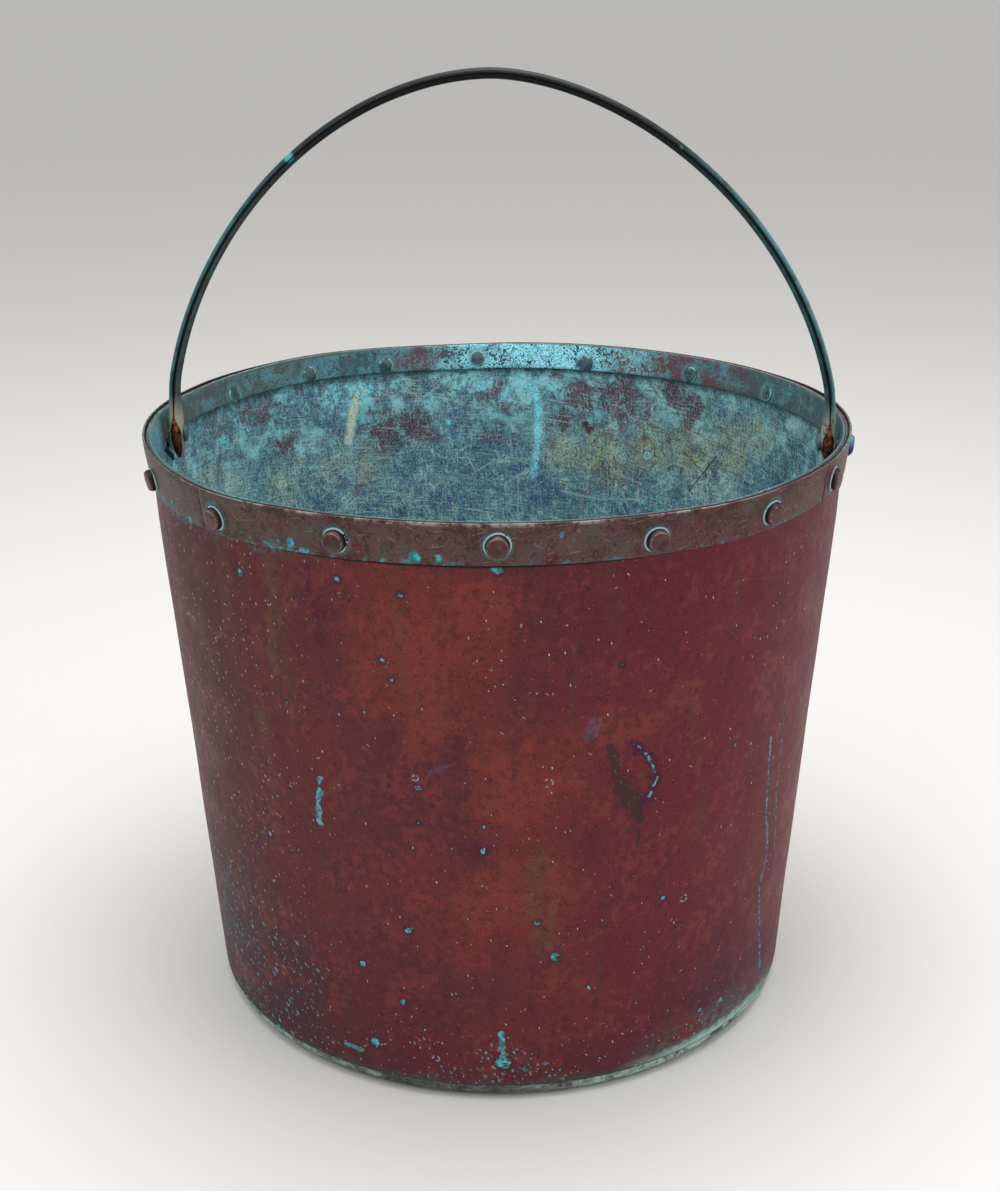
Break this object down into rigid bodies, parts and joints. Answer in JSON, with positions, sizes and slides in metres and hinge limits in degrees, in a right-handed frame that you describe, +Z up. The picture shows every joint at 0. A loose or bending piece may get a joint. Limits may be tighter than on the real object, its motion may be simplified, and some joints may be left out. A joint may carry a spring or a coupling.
{
  "type": "copper bucket",
  "caption": "Tapered open copper bucket with a riveted band round its rim and an arched swinging bail, dark and tarnished outside, green inside",
  "frame": {"origin": "middle of the foot, on the surface that the bucket stands on", "axes": "+Z up out of the bucket's mouth, X through the two pivots of the bail, -Y towards the front"},
  "size_m": [0.403, 0.4032, 0.5279],
  "materials": {
    "wall_copper": "red brown oxide outside with green spots, green and brown tarnish inside",
    "base_copper": "green tarnish, pale round its corner",
    "band_copper": "brown oxide, worn edges",
    "inner_band_copper": "blue green and brown tarnish",
    "rivet_copper": "brown oxide with pale green rings at the foot",
    "bail_copper": "dark brown oxide on top, blue green legs",
    "bail_iron": "flaking orange brown rust"
  },
  "bodies": {
    "bucket": {"wall": "wall_copper", "base": "base_copper", "rim_band_front": "band_copper", "rim_band_back": "band_copper", "ear_strap_left": "band_copper", "ear_strap_right": "band_copper", "inner_band": "inner_band_copper", "rim_rivet_01": "rivet_copper", "rim_rivet_02": "rivet_copper", "rim_rivet_03": "rivet_copper", "rim_rivet_04": "rivet_copper", "rim_rivet_05": "rivet_copper", "rim_rivet_06": "rivet_copper", "rim_rivet_07": "rivet_copper", "rim_rivet_08": "rivet_copper", "rim_rivet_09": "rivet_copper", "rim_rivet_10": "rivet_copper", "rim_rivet_11": "rivet_copper", "rim_rivet_12": "rivet_copper", "rim_rivet_13": "rivet_copper", "rim_rivet_14": "rivet_copper", "pivot_rivet_left": "rivet_copper", "pivot_rivet_right": "rivet_copper"},
    "bail": {"bail_sheath": "bail_copper", "bail_core": "bail_iron"}
  },
  "joints": [
    {"name": "bail_swing", "type": "hinge", "parent": "bucket", "child": "bail", "pos_m": [0, 0, 0.3245], "axis": [1, 0, 0], "range_deg": [-82, 82]}
  ]
}
